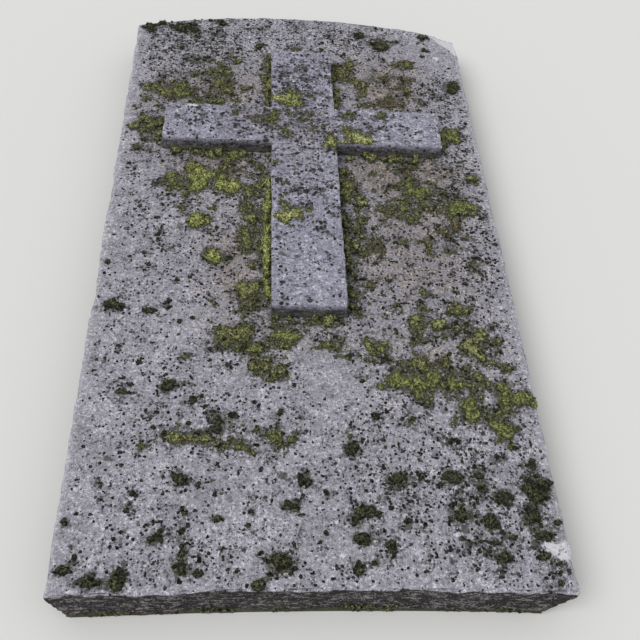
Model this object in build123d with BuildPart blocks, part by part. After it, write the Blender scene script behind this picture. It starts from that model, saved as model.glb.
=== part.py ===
from build123d import *
import os

# Flat-lying gravestone: a stone slab with an arched head and a raised Latin cross
# Millimetres, +Z up, +Y from the foot of the slab to its head
# The origin is under the middle of the slab, on the level that it rests on

# Slab
slab_width = 900
side_length = 1630
head_rise = 67
slab_thickness = 100
foot_hollow = 8
slab_corner_round = 6
slab_arris_round = 5

# Break that has split a flat flake off the right-hand corner of the head
head_break_along_head = 62
head_break_along_side = 84
head_break_depth = 12

# Breaks that take off both lower corners of the foot
left_foot_break_along_foot = 26
left_foot_break_along_side = 50
left_foot_break_height = 85
right_foot_break_along_foot = 45
right_foot_break_along_side = 70
right_foot_break_height = 85

# Cross
cross_foot_setback = 590
cross_length = 886
shaft_width = 158
arm_setback = 515
arm_width = 131
arm_span = 685
relief = 40
cross_corner_round = 4
worn_corner_round = 14
cross_arris_round = 3

# Mortar bed under the cross
bed_joint = 3
bed_recess = 3

# Places that follow from the sizes
overall_length = side_length + head_rise
half_width = slab_width / 2
foot_y = -overall_length / 2
crown_y = overall_length / 2
head_corner_y = foot_y + side_length
cross_foot_y = foot_y + cross_foot_setback
arm_low_y = cross_foot_y + arm_setback
cross_seat_z = slab_thickness + bed_joint
cross_height = relief - bed_joint

os.makedirs("parts", exist_ok=True)


def draw_cross(inset):
    """The cross in plan, drawn in by an inset on every side."""
    with Locations((0, cross_foot_y + cross_length / 2)):
        Rectangle(shaft_width - 2 * inset, cross_length - 2 * inset)
    with Locations((0, arm_low_y + arm_width / 2)):
        Rectangle(arm_span - 2 * inset, arm_width - 2 * inset)


def break_plane(corner, reach_x, reach_y, reach_z):
    """The face of a break that takes off a corner and reaches so far along each of its edges."""
    inward = Vector(1 / reach_x, 1 / reach_y, 1 / reach_z)
    return Plane(origin=corner + Vector(reach_x, 0, 0), z_dir=inward)


# Slab: square walls, straight sides, a head struck as one arc and a foot edge worn hollow
head_break = break_plane(
    Vector(half_width, head_corner_y, slab_thickness),
    -head_break_along_head, -head_break_along_side, -head_break_depth,
)
left_foot_break = break_plane(
    Vector(-half_width, foot_y, 0),
    left_foot_break_along_foot, left_foot_break_along_side, left_foot_break_height,
)
right_foot_break = break_plane(
    Vector(half_width, foot_y, 0),
    -right_foot_break_along_foot, right_foot_break_along_side, right_foot_break_height,
)

with BuildPart() as ledger_slab:
    with BuildSketch(Plane.XY.offset(slab_thickness)) as slab_plan:
        with BuildLine():
            left_side = Line((-half_width, foot_y), (-half_width, head_corner_y))
            head = ThreePointArc(left_side @ 1, (0, crown_y), (half_width, head_corner_y))
            right_side = Line(head @ 1, (half_width, foot_y))
            ThreePointArc(right_side @ 1, (0, foot_y + foot_hollow), left_side @ 0)
        make_face()
    extrude(amount=-slab_thickness)
    level_edges = ledger_slab.edges().group_by(Axis.Z)[0] + ledger_slab.edges().group_by(Axis.Z)[-1]
    fillet(ledger_slab.edges() - level_edges, radius=slab_corner_round)
    slab_top = ledger_slab.faces().sort_by(Axis.Z)[-1]
    fillet(slab_top.outer_wire().edges(), radius=slab_arris_round)
    for broken_face in (head_break, left_foot_break, right_foot_break):
        split(bisect_by=broken_face, keep=Keep.TOP)

ledger_slab.part.label = "ledger_slab"
export_step(ledger_slab.part, "parts/ledger_slab.step")

# Mortar bed: a thin layer between slab and cross, raked back from the cross's edge
with BuildPart() as cross_bed:
    with BuildSketch(Plane.XY.offset(slab_thickness)):
        draw_cross(bed_recess)
    extrude(amount=bed_joint)

cross_bed.part.label = "cross_bed"
export_step(cross_bed.part, "parts/cross_bed.step")

# Cross: one flat stone with square sides, rounded a little at its ends and worn arrises
with BuildPart() as raised_cross:
    with BuildSketch(Plane.XY.offset(cross_seat_z)) as cross_plan:
        draw_cross(0)
        worn_corner = cross_plan.vertices().group_by(Axis.X)[0].sort_by(Axis.Y)[0]
        fillet(worn_corner, radius=worn_corner_round)
        crisp_corners = (
            cross_plan.vertices().group_by(Axis.Y)[0]
            + cross_plan.vertices().group_by(Axis.Y)[-1]
            + cross_plan.vertices().group_by(Axis.X)[-1]
        )
        fillet(crisp_corners, radius=cross_corner_round)
    extrude(amount=cross_height)
    cross_top = raised_cross.faces().sort_by(Axis.Z)[-1]
    fillet(cross_top.outer_wire().edges(), radius=cross_arris_round)

raised_cross.part.label = "raised_cross"
export_step(raised_cross.part, "parts/raised_cross.step")

for piece in (ledger_slab, cross_bed, raised_cross):
    size = piece.part.bounding_box().size
    print(piece.part.label, [round(side, 1) for side in size], round(piece.part.volume / 1e6, 2), "litres")
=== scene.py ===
# %% [markdown]
# # A weathered gravestone that lies flat
#
# The real object is a thick slab of grey limestone with an arched head. A Latin cross of
# the same stone lies on its upper half, bedded on a thin layer of mortar. Decades outdoors
# have given it black lichen, moss cushions, damp streaks and a few broken corners.
#
# The construction model already has the true sizes. This lesson dresses it: every surface
# is carved again with the relief that weather makes, moss is planted where it grows, and
# procedural materials carry what is finer than a few millimetres.

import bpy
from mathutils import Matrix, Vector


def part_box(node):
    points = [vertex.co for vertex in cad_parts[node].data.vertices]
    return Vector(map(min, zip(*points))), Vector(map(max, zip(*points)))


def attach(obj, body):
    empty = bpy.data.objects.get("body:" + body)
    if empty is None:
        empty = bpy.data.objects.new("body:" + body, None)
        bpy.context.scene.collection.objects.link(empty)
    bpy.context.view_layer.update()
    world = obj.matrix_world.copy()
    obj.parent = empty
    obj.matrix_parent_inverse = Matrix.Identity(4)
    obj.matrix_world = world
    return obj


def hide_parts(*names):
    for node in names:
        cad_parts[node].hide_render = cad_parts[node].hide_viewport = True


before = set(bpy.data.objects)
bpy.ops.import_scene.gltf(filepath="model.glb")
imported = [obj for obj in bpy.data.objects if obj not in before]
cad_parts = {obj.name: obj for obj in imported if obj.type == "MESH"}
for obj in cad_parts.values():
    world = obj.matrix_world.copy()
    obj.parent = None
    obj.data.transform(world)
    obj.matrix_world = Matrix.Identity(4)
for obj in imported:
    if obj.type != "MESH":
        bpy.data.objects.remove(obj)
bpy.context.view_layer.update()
print("Nodes:", ", ".join(sorted(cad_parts)))

# %% Tools of this lesson
import math

import bmesh
import bpy
import numpy as np
from mathutils import Euler, Vector, noise

MM = 0.001

# %% [markdown]
# ## Set up the camera
#
# A camera is a place, a direction and a lens. This one is beyond the foot of the stone, a
# little to the left of its middle, a metre and a half up, and rolled by some degrees.
# Turning in the order roll, tilt, heading keeps each of the three a number one can picture.

# %% Camera
camera_place = Vector((-0.1258, -1.3487, 1.4827))
camera_heading = math.radians(7.82)
camera_depression = math.radians(51.64)
camera_roll = math.radians(7.3)
camera_lens = 47.3
camera_sensor = 36.0

camera = bpy.data.objects.new("camera", bpy.data.cameras.new("camera"))
camera.data.lens = camera_lens
camera.data.sensor_width = camera_sensor
turn = Euler((0, 0, -camera_heading)).to_matrix()
turn = turn @ Euler((math.pi / 2 - camera_depression, 0, 0)).to_matrix()
turn = turn @ Euler((0, 0, camera_roll)).to_matrix()
camera.matrix_world = turn.to_4x4()
camera.location = camera_place
bpy.context.scene.collection.objects.link(camera)
bpy.context.scene.camera = camera
print(f"Camera {camera_place.z:.2f} m up, looking down by {math.degrees(camera_depression):.0f} degrees")

# %% [markdown]
# ## Light it as on a dull day
#
# Overcast light comes from the whole sky, so shadows are soft and relief stays gentle. The
# sky here is an even pale world, and a wide low sun adds just enough direction to show the
# edge of the cross. Together they light a level surface at about its written colour.

# %% Sky, sun and floor
sky_strength = 0.62
sun_strength = 1.35
sun_spread = math.radians(35)
sun_elevation = math.radians(52)
sun_azimuth = math.radians(-60)

world = bpy.data.worlds.new("pale sky")
world.use_nodes = True
sky = world.node_tree.nodes["Background"]
sky.inputs["Color"].default_value = (0.96, 0.98, 1.0, 1)
sky.inputs["Strength"].default_value = sky_strength
bpy.context.scene.world = world

sun = bpy.data.objects.new("sun", bpy.data.lights.new("sun", "SUN"))
sun.data.energy = sun_strength
sun.data.angle = sun_spread
sun.rotation_euler = (math.pi / 2 - sun_elevation, 0, sun_azimuth)
bpy.context.scene.collection.objects.link(sun)

floor_size = 30
floor_mesh = bpy.data.meshes.new("floor")
floor_shape = bmesh.new()
bmesh.ops.create_grid(floor_shape, x_segments=1, y_segments=1, size=floor_size / 2)
floor_shape.to_mesh(floor_mesh)
floor_shape.free()
floor = bpy.data.objects.new("floor", floor_mesh)
bpy.context.scene.collection.objects.link(floor)
floor_finish = bpy.data.materials.new("pale floor")
floor_finish.use_nodes = True
floor_shader = floor_finish.node_tree.nodes["Principled BSDF"]
floor_shader.inputs["Base Color"].default_value = (0.78, 0.77, 0.75, 1)
floor_shader.inputs["Roughness"].default_value = 0.95
floor_mesh.materials.append(floor_finish)

bpy.context.scene.view_settings.view_transform = "Standard"

# %% [markdown]
# ## Sizes that the carving needs
#
# The boxes of the construction's nodes give the outer sizes. The few sizes inside them,
# such as how far up the cross its arms are and how far each broken corner reaches, repeat
# the construction's own. The lines of the foot and the head are used all through the lesson.

# %% Slab and cross in numbers
slab_low, slab_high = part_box("ledger_slab")
cross_low, cross_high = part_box("raised_cross")

half_width = slab_high.x
foot_y = slab_low.y
crown_y = slab_high.y
slab_top = slab_high.z
head_rise = 67 * MM
foot_hollow = 8 * MM
slab_arris = 4.6 * MM

cross_half_span = cross_high.x
half_shaft = 79 * MM
arm_low_y = cross_low.y + 515 * MM
arm_high_y = arm_low_y + 131 * MM
cross_arris = 2.6 * MM
worn_corner_round = 14 * MM

head_corner_y = crown_y - head_rise
head_radius = (half_width ** 2 + head_rise ** 2) / (2 * head_rise)
head_corner = Vector((half_width, head_corner_y, slab_top))
left_foot_corner = Vector((-half_width, foot_y, 0))
right_foot_corner = Vector((half_width, foot_y, 0))
head_break = Vector((-62, -84, -12)) * MM
left_foot_break = Vector((26, 50, 85)) * MM
right_foot_break = Vector((-45, 70, 85)) * MM


def foot_line(x):
    """How far along the hollow edge of the foot lies, at some places across."""
    return foot_y + foot_hollow * (1 - (x / half_width) ** 2)


def head_line(x):
    """How far along the arched edge of the head lies, at some places across."""
    return crown_y - head_radius + np.sqrt(head_radius ** 2 - x ** 2)


slab_length = crown_y - foot_y
cross_thickness = cross_high.z - cross_low.z
print(f"Slab {2 * half_width:.3f} m wide, {slab_length:.3f} m long; cross {cross_thickness:.3f} m thick")

# %% [markdown]
# ## Noise and plans
#
# Weather is noise at many sizes, so one function gives smooth noise for a whole array of
# points. What grows where is kept on a plan, a grid of small squares over the stone. A patch
# is stamped on it as an oval, given by where it starts and ends across the slab and along
# it, in millimetres from the centre line and from the foot. The plan's own noise bends each
# oval and frays its rim, so that no patch looks drawn with a compass. The plan also knows
# where the packed domes of the moss are, so that a rim breaks up into whole small cushions.

# %% Noise for many points
def waves(points, size, seed=0.0):
    """Smooth noise from about -1 to 1 at each point, with features about one size across."""
    shift = Vector((seed, seed * 1.7, seed * 0.6))
    return np.array([noise.noise(Vector(point) / size + shift) for point in points])


def domes(points, size, seed=0.0):
    """Low rounded domes packed side by side: 1 at the top of each, falling towards 0 between."""
    shift = Vector((seed, seed * 1.7, 0))
    nearest = [noise.voronoi(Vector((x, y, 0)) / size + shift)[0][0] for x, y, _ in points]
    return 1 - np.clip(np.array(nearest), 0, 1) ** 2


# %% A plan of what grows where
class Plan:
    """Layers of numbers over a stone's upper face, one for each small square."""

    # An oval is bare beyond so many times its own reach
    bare_beyond = 1.9

    def __init__(self, low, high, cell, dome_size):
        self.low = low
        self.cell = cell
        x_lines = np.arange(low.x, high.x + cell, cell)
        y_lines = np.arange(low.y, high.y + cell, cell)
        self.x, self.y = np.meshgrid(x_lines, y_lines)
        self.shape = self.x.shape
        points = self.points()
        self.domes = self.grid(domes(points, dome_size))
        self.sway_x = self.grid(waves(points, 0.040, 1) + 0.6 * waves(points, 0.012, 2))
        self.sway_y = self.grid(waves(points, 0.040, 3) + 0.6 * waves(points, 0.012, 4))
        self.fray = self.grid(
            waves(points, 0.030, 5) + 0.9 * waves(points, 0.013, 6) + 0.7 * waves(points, 0.0065, 7)
        )
        self.layers = {}

    def points(self):
        """The places of all squares, as a list of points on level zero."""
        return np.stack([self.x, self.y, 0 * self.x], axis=-1).reshape(-1, 3)

    def grid(self, values):
        """Gives a list of numbers the shape of the plan."""
        return np.array(values).reshape(self.shape)

    def stamp(self, layer, ovals, peak=0.65, sway=0.45, fray=1.2, clump=0.55):
        """Lays ovals on a layer. Growth is above 0, and a peak of 0 covers half of an oval."""
        sheet = self.layers.setdefault(layer, np.full(self.shape, -1.0))
        for west, east, south, north in ovals:
            centre = slab_place((west + east) / 2, (south + north) / 2)
            reach_x = (east - west) / 2 * MM
            reach_y = (north - south) / 2 * MM
            near_x = np.abs(self.x[0] - centre.x) < self.bare_beyond * reach_x
            near_y = np.abs(self.y[:, 0] - centre.y) < self.bare_beyond * reach_y
            part = np.ix_(near_y, near_x)
            dx = (self.x[part] - centre.x) / reach_x + sway * self.sway_x[part]
            dy = (self.y[part] - centre.y) / reach_y + sway * self.sway_y[part]
            fall = 1.2 * np.maximum(0, dx ** 2 + dy ** 2 - 0.2)
            uneven = fray * self.fray[part] + clump * (self.domes[part] - 0.75)
            sheet[part] = np.maximum(sheet[part], peak - fall + uneven)

    def read(self, layer, points):
        """The numbers of a layer at some points."""
        rows, columns = self.shape
        column = np.clip(np.rint((points[:, 0] - self.low.x) / self.cell).astype(int), 0, columns - 1)
        row = np.clip(np.rint((points[:, 1] - self.low.y) / self.cell).astype(int), 0, rows - 1)
        return self.layers[layer][row, column]


def damp_share(plan, cells=9):
    """How damp moss keeps the stone, from 0 to 1: the share of moss around each square."""
    covered = np.max(list(plan.layers.values()), axis=0) > -0.25
    window = np.hanning(2 * cells + 1)
    for axis in (0, 1):
        covered = np.apply_along_axis(np.convolve, axis, covered, window / window.sum(), "same")
    return np.clip(2.2 * covered, 0, 1)


def slab_place(across, along, height=0.0):
    """A point from millimetres across the centre line and along from the foot."""
    return Vector((across * MM, foot_y + along * MM, height))


def field_sum(points, fields):
    """Adds up soft ovals, each with its own height, at some points."""
    total = np.zeros(len(points))
    for west, east, south, north, height in fields:
        centre = slab_place((west + east) / 2, (south + north) / 2)
        dx = (points[:, 0] - centre.x) / ((east - west) * MM)
        dy = (points[:, 1] - centre.y) / ((north - south) * MM)
        total += height * np.exp(-3.2 * (dx ** 2 + dy ** 2))
    return total


def near(distance, reach):
    """1 at no distance, falling evenly to 0 at the reach."""
    return np.clip(1 - distance / reach, 0, 1)


# %% [markdown]
# ## Where the moss is
#
# The names go by colour, as it shows on the stone: black-green cushions in the open field,
# olive carpets in the damp middle, green where it is wetter, bright yellow-green left of the
# shaft, and dry brown-green beside the cross. Between the carpets moss grows in crumbs, over
# wide sparse fields, and it lines the foot of the cross, where water stands. Each row is
# west, east, south, north.

# %% Moss on the slab
black_cushions = [
    (-352, -318, 12, 52), (-438, -410, 36, 56), (-444, -428, 120, 138), (-404, -362, 14, 32),
    (-258, -220, 32, 56), (-240, -222, 66, 80), (-214, -192, 32, 48), (-172, -156, 76, 92),
    (-90, -36, 46, 74), (-112, -82, 4, 28), (60, 102, 88, 112), (72, 92, 140, 158),
    (82, 118, 136, 162), (116, 142, 62, 94), (60, 84, 30, 58), (308, 346, 48, 74),
    (383, 411, 54, 76), (416, 434, 46, 58), (434, 444, 32, 44), (406, 426, 8, 24),
    (378, 410, 124, 162), (378, 432, 96, 114), (392, 448, 166, 226), (326, 370, 160, 192),
    (296, 318, 186, 204), (298, 320, 214, 230), (296, 332, 114, 144), (338, 362, 95, 110),
    (302, 324, 84, 96), (312, 332, 32, 44), (289, 301, 65, 78), (225, 235, 19, 29), (428, 444, 122, 136),
    (234, 278, 206, 236), (246, 294, 132, 156), (260, 284, 284, 306), (136, 172, 196, 226),
    (176, 190, 196, 210), (-34, -6, 196, 224),
    (-57, -20, 150, 170), (-264, -224, 198, 226), (-216, -200, 190, 212), (-242, -224, 140, 160),
    (-292, -268, 90, 112), (-180, -160, 128, 144), (-124, -108, 146, 158), (60, 86, 255, 294),
    (-200, -164, 305, 345), (-70, -56, 346, 366), (-378, -352, 388, 404), (-298, -264, 402, 426),
    (-438, -388, 595, 628), (-346, -314, 590, 608), (-302, -280, 596, 636), (-276, -262, 566, 578),
    (-440, -424, 720, 742), (406, 422, 236, 268), (108, 136, 340, 362), (344, 374, 1619, 1641),
    (348, 374, 1554, 1579), (156, 192, 1606, 1640), (212, 250, 1544, 1590), (-262, -246, 1658, 1674),
    (-240, -206, 1636, 1668), (-400, -366, 1630, 1646), (-352, -288, 1600, 1645), (-440, -396, 1594, 1640),
    (-124, -104, 1536, 1564), (228, 262, 1158, 1172), (402, 436, 1360, 1436), (-420, -402, 1600, 1625),
]
olive_moss = [
    (-296, -194, 286, 312), (-96, -30, 282, 314), (-332, -298, 274, 298), (-102, -40, 424, 452),
    (-190, -104, 490, 570), (-132, -52, 424, 490), (-86, -8, 502, 566), (22, 82, 500, 534),
    (150, 302, 446, 498), (300, 402, 486, 572), (298, 362, 598, 642),
    (304, 352, 780, 798), (-234, -200, 736, 784), (-272, -220, 842, 892), (-344, -238, 968, 1012),
    (328, 406, 900, 962), (156, 302, 888, 942), (394, 438, 1012, 1052), (-434, -352, 1160, 1240),
    (-402, -286, 1308, 1380), (-258, -200, 1396, 1442), (-234, -188, 1340, 1392), (136, 192, 1364, 1424),
    (-196, -158, 1460, 1500), (-160, -98, 600, 700), (-146, -110, 830, 900), (-150, -84, 940, 990),
    (104, 144, 1440, 1466), (260, 326, 1470, 1518), (-186, -150, 268, 300),
    (-150, -118, 262, 288), (-98, -78, 1380, 1540),
    (84, 110, 590, 700), (86, 120, 930, 1090), (200, 300, 560, 600), (84, 150, 1400, 1500),
]
green_moss = [
    (128, 302, 398, 460), (282, 350, 338, 396), (340, 402, 290, 366), (374, 452, 366, 416),
    (360, 420, 386, 446), (106, 158, 494, 546), (238, 308, 956, 1008), (326, 408, 898, 960),
    (-334, -286, 1308, 1352), (358, 412, 1162, 1232), (-134, -96, 484, 520), (-56, -6, 520, 560),
    (196, 250, 414, 446), (82, 100, 1240, 1300), (-200, -150, 1066, 1096),
]
bright_moss = [
    (-298, -213, 960, 1052), (-220, -136, 958, 1018), (-270, -228, 842, 894), (-224, -190, 738, 776),
    (-98, -76, 640, 900), (-96, -76, 850, 1000), (-98, -80, 620, 840),
]
brown_moss = [
    (308, 392, 846, 904), (-126, -84, 1010, 1080), (200, 300, 1040, 1090), (120, 200, 780, 850),
    (-320, -240, 1210, 1300), (110, 330, 1296, 1340), (-68, 32, 1526, 1562), (200, 330, 1400, 1450),
    (-420, -360, 1080, 1130), (196, 278, 1578, 1618),
]
sparse_moss = [
    (20, 460, 310, 720), (-290, 100, 440, 670), (-370, -70, 820, 1140), (70, 460, 700, 1140),
    (-370, -70, 1270, 1530), (80, 340, 1240, 1480), (-340, 70, 230, 360), (-450, -320, 1060, 1440),
]
thick_moss = [
    (-330, -90, 950, 1090), (-165, -80, 600, 1100), (130, 440, 350, 560),
    (80, 160, 600, 1090), (190, 420, 880, 1060), (-330, -130, 1240, 1400),
]
cross_foot_moss = [
    (-104, -72, 640, 1100), (72, 104, 620, 1090), (-330, -90, 1080, 1112), (90, 330, 1080, 1112),
    (-104, -72, 1230, 1490), (72, 100, 1240, 1490), (-300, -90, 1232, 1254), (-370, -340, 1110, 1230),
    (-70, 40, 1470, 1500), (340, 372, 1120, 1230), (-70, 70, 566, 596),
]

# %% Moss on the cross
tuft_moss = [
    (-84, 6, 1228, 1306), (80, 188, 1082, 1162), (-70, 8, 824, 884), (44, 94, 1080, 1128),
]
thin_moss = [
    (-146, -14, 1152, 1250), (-64, -22, 1112, 1160), (-79, -34, 900, 990), (84, 142, 1190, 1240),
    (180, 218, 1200, 1236), (-196, -156, 1196, 1234), (-79, -60, 1010, 1060), (40, 84, 1110, 1180),
    (-20, 30, 1180, 1230), (-84, 30, 1204, 1320), (62, 202, 1078, 1176), (-79, 24, 806, 896),
]
patch_lists = (
    black_cushions, olive_moss, green_moss, bright_moss, brown_moss, sparse_moss, thick_moss,
    cross_foot_moss, tuft_moss, thin_moss,
)
print("Patches:", sum(len(ovals) for ovals in patch_lists))

# %% [markdown]
# ## Carve the stone
#
# Both stones start as a ruled grid for the upper face. Its rim is extruded down in courses
# to make the walls, and the underside is closed with one face. This gives even quads all
# over, so that weathering can push any point in or out, and a bevel breaks the sharp rim.
# Subdividing a box would waste many of its faces on the underside, which never shows.

# %% A ruled blank
def rule_lines(stops, cell):
    """Coordinates from the first stop to the last, about one cell apart, that meet every stop."""
    lines = [stops[0]]
    for start, end in zip(stops, stops[1:]):
        count = max(1, round((end - start) / cell))
        lines += [start + (end - start) * step / count for step in range(1, count + 1)]
    return lines


def ruled_grid(x_lines, y_lines, height):
    """A level grid whose lines run through the given coordinates."""
    bm = bmesh.new()
    columns = len(x_lines) - 1
    rows = len(y_lines) - 1
    bmesh.ops.create_grid(bm, x_segments=columns, y_segments=rows, size=1)
    for vert in bm.verts:
        column = round((vert.co.x + 1) / 2 * columns)
        row = round((vert.co.y + 1) / 2 * rows)
        vert.co = (x_lines[column], y_lines[row], height)
    return bm


def drop_walls(bm, depth, courses):
    """Extrudes the rim of a level sheet down in courses, and closes the underside."""
    rim = [edge for edge in bm.edges if edge.is_boundary]
    top_rim = list(rim)
    for _ in range(courses):
        made = bmesh.ops.extrude_edge_only(bm, edges=rim)["geom"]
        fresh_verts = [item for item in made if isinstance(item, bmesh.types.BMVert)]
        rim = [item for item in made if isinstance(item, bmesh.types.BMEdge) and item.is_boundary]
        bmesh.ops.translate(bm, verts=fresh_verts, vec=(0, 0, -depth / courses))
    bmesh.ops.contextual_create(bm, geom=rim)
    bmesh.ops.recalc_face_normals(bm, faces=bm.faces)
    return top_rim


def break_arrises(bm, edges, width):
    """Rounds edges with three small steps."""
    bmesh.ops.bevel(
        bm, geom=edges, offset=width, segments=3, profile=0.5,
        affect="EDGES", material=-1, clamp_overlap=True,
    )


def upright_corners(bm):
    """The edges that stand between two walls."""
    return [
        edge for edge in bm.edges
        if len(edge.link_faces) == 2
        and abs(edge.verts[0].co.z - edge.verts[1].co.z) > MM
        and edge.calc_face_angle(0) > 1
    ]


# %% [markdown]
# ## Weather it
#
# The upper face gets broad shallow hollows and smaller dishes, all below the level that the
# construction gives it. The walls show the bedding of the stone as thin level ledges, which
# swing about the construction's face. Arrises lose small bites. The normal of each point says
# which of the three it belongs to, and the mix between them is smooth.

# %% Relief
def top_relief(points):
    """How far rain has lowered the upper face at some points."""
    broad = 0.5 + 0.5 * waves(points, 0.17, 1)
    dish = np.maximum(0, waves(points, 0.05, 2))
    grain = 0.5 + 0.5 * waves(points, 0.013, 4)
    pit = np.maximum(0, waves(points, 0.0085, 9) - 0.25)
    return (1.3 * broad + 1.3 * dish + 0.7 * grain + 2.2 * pit) * MM


def wall_relief(points):
    """How far weather has cut into the walls at some points, in level ledges."""
    bedding = points * np.array([1 / 5, 1 / 5, 1])
    ledge = waves(bedding, 0.0085, 6)
    thin_ledge = waves(bedding, 0.004, 7)
    sweep = waves(points * np.array([1, 1, 0.3]), 0.10, 16)
    spall = np.maximum(0, waves(points, 0.055, 8) - 0.1)
    lump = np.maximum(0, waves(points, 0.018, 15) - 0.05)
    return (1.5 * ledge + 0.9 * thin_ledge + 3.5 * sweep + 5.0 * spall + 4.5 * lump - 0.7) * MM


def arris_bites(points):
    """How far small chips have taken the arris back."""
    sweep = np.maximum(0, waves(points, 0.075, 10) - 0.05)
    bite = np.maximum(0, waves(points, 0.028, 11) - 0.10)
    nick = np.maximum(0, waves(points, 0.011, 12) - 0.15)
    return (8.0 * sweep + 10.0 * bite + 5.0 * nick) * MM


def coordinates(bm):
    """The places of a shape's points, as an array."""
    return np.array([vert.co for vert in bm.verts])


def normals(bm):
    """The directions in which a shape's points look, as an array."""
    bm.normal_update()
    return np.array([vert.normal for vert in bm.verts])


def move_to(bm, places):
    """Puts a shape's points at new places."""
    for vert, place in zip(bm.verts, places):
        vert.co = place


def weather(bm, top_wear=1.0, wall_wear=1.0, arris_wear=1.0):
    """Pushes every point of a blank inward as far as the relief at that point says."""
    points = coordinates(bm)
    facing = normals(bm)
    flat = np.clip(facing[:, 2], 0, 1) ** 2
    depth = top_wear * flat * top_relief(points)
    depth += wall_wear * (1 - flat) * wall_relief(points)
    depth += arris_wear * 4 * flat * (1 - flat) * arris_bites(points)
    depth[facing[:, 2] < -0.3] = 0
    move_to(bm, points - facing * depth[:, None])


# %% [markdown]
# ## The slab
#
# The blank is a square of -1 to 1 across and 0 to 1 along. One function lays it out on the
# real plan, with straight sides, a head struck as one arc and a foot that is worn slightly
# hollow. The walls are square to the upper face.

# %% Slab blank
slab_cell = 4.75 * MM
slab_courses = 17


def slab_point(across, along, depth):
    """Where a point of the blank lies on the slab."""
    x = across * half_width
    y = foot_line(x) + along * (head_line(x) - foot_line(x))
    return Vector((x, y, slab_top - depth))


slab_shape = ruled_grid(
    rule_lines([-1, 1], slab_cell / half_width),
    rule_lines([0, 1], slab_cell / slab_length),
    0,
)
slab_rim = drop_walls(slab_shape, slab_top, slab_courses)
for vert in slab_shape.verts:
    vert.co = slab_point(vert.co.x, vert.co.y, -vert.co.z)
slab_shape.normal_update()
break_arrises(slab_shape, slab_rim + upright_corners(slab_shape), slab_arris)
print("Slab blank:", len(slab_shape.faces), "faces")

# %% [markdown]
# ## Broken corners
#
# A broken corner is a plane that cuts off three edges at once. Cutting with the plane would
# leave one big flat face, so the points beyond it are pulled back onto it instead, a little
# unevenly, and the quads stay dense enough for rough stone.

# %% Corner breaks
break_roughness = 2.5 * MM


def break_corner(bm, corner, reach):
    """Pulls the points beyond a sloping plane back onto it, and says which they were."""
    inward = Vector((1 / reach.x, 1 / reach.y, 1 / reach.z)).normalized()
    points = coordinates(bm)
    beyond = (np.array(corner + Vector((reach.x, 0, 0))) - points) @ np.array(inward)
    broken = beyond > 0
    rough = 0.5 + 0.3 * waves(points[broken], 0.022, 21) + 0.2 * waves(points[broken], 0.009, 22)
    points[broken] += np.outer(beyond[broken] + break_roughness * rough, np.array(inward))
    move_to(bm, points)
    return broken


fresh_break = break_corner(slab_shape, head_corner, head_break)
break_corner(slab_shape, left_foot_corner, left_foot_break)
break_corner(slab_shape, right_foot_corner, right_foot_break)
weather(slab_shape, arris_wear=1.1)
for vert in slab_shape.verts:
    vert.co.z = max(vert.co.z, 0.0)
print("Points on the fresh break:", int(fresh_break.sum()))

# %% [markdown]
# ## How thickly lichen grows
#
# Black lichen likes the wet, shaded stone at the head and beside the cross, and keeps off
# the sides, where rain runs off and washes the stone. The density is a base value plus soft
# ovals. Beside the cross, damp has also stained the stone brown.

# %% Density of lichen and stain over the slab
lichen_fields = [
    (-470, -170, 1380, 1740, 0.28), (-220, 260, 1500, 1740, 0.18), (-440, -240, 840, 1300, 0.10),
    (60, 450, 40, 330, 0.16), (300, 450, 600, 1240, 0.22), (-330, -120, 40, 130, 0.10),
    (330, 450, 1240, 1480, 0.16), (-220, 100, 590, 900, 0.10), (80, 330, 1520, 1660, 0.06),
]
washed_fields = [
    (0, 96, 376, 496, 0.30), (-300, -205, 520, 600, 0.26), (300, 440, 1470, 1640, 0.30),
    (-60, 140, 40, 170, 0.16), (140, 300, 0, 60, 0.12), (-240, 0, 110, 190, 0.08),
]
stain_fields = [
    (80, 420, 560, 1000, 0.85), (90, 400, 980, 1130, 1.0), (90, 360, 1260, 1500, 0.95),
    (-340, -80, 1230, 1500, 0.8), (-240, -90, 580, 900, 0.8), (-340, -90, 960, 1130, 0.9),
    (-200, 120, 480, 600, 0.5), (140, 420, 380, 560, 0.35), (60, 440, 1440, 1620, 0.25),
    (-440, -300, 1080, 1440, 0.5),
]


def slab_margin(points, width):
    """1 at the sides of the slab, falling to 0 at some width from them."""
    return near(half_width - np.abs(points[:, 0]), width)


def slab_lichen(points):
    """How thickly black lichen covers the slab's upper face."""
    washed_strip_x = -0.43
    share = 0.42 + field_sum(points, lichen_fields) - field_sum(points, washed_fields)
    share -= 0.22 * slab_margin(points, 0.030)
    share -= 0.16 * near(np.abs(points[:, 0] - washed_strip_x), 0.035)
    return np.clip(share + 0.10 * waves(points, 0.06, 13), 0.04, 1)


# %% [markdown]
# ## The plan of the slab
#
# The named patches go on the plan first. Then many small cushions are dealt out by chance,
# most of them where lichen is thick.

# %% Plan of the slab
chance = np.random.default_rng(7)
plan_cell = 3.0 * MM
slab_plan = Plan(slab_low, slab_high, plan_cell, dome_size=10 * MM)
slab_plan.stamp("black", black_cushions, peak=0.75, sway=0.40, fray=0.9, clump=0.9)
slab_plan.stamp("olive", olive_moss, peak=0.36, clump=0.6)
slab_plan.stamp("olive", thick_moss, peak=-0.25, clump=0.8)
slab_plan.stamp("olive", sparse_moss, peak=-0.66, clump=0.9)
slab_plan.stamp("olive", cross_foot_moss, peak=0.25, clump=0.7)
slab_plan.stamp("green", green_moss, peak=0.45, clump=0.6)
slab_plan.stamp("bright", bright_moss, peak=0.65, clump=0.4)
slab_plan.stamp("green", cross_foot_moss, peak=-0.25, clump=0.8)
slab_plan.stamp("brown", brown_moss, peak=-0.15)

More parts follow.
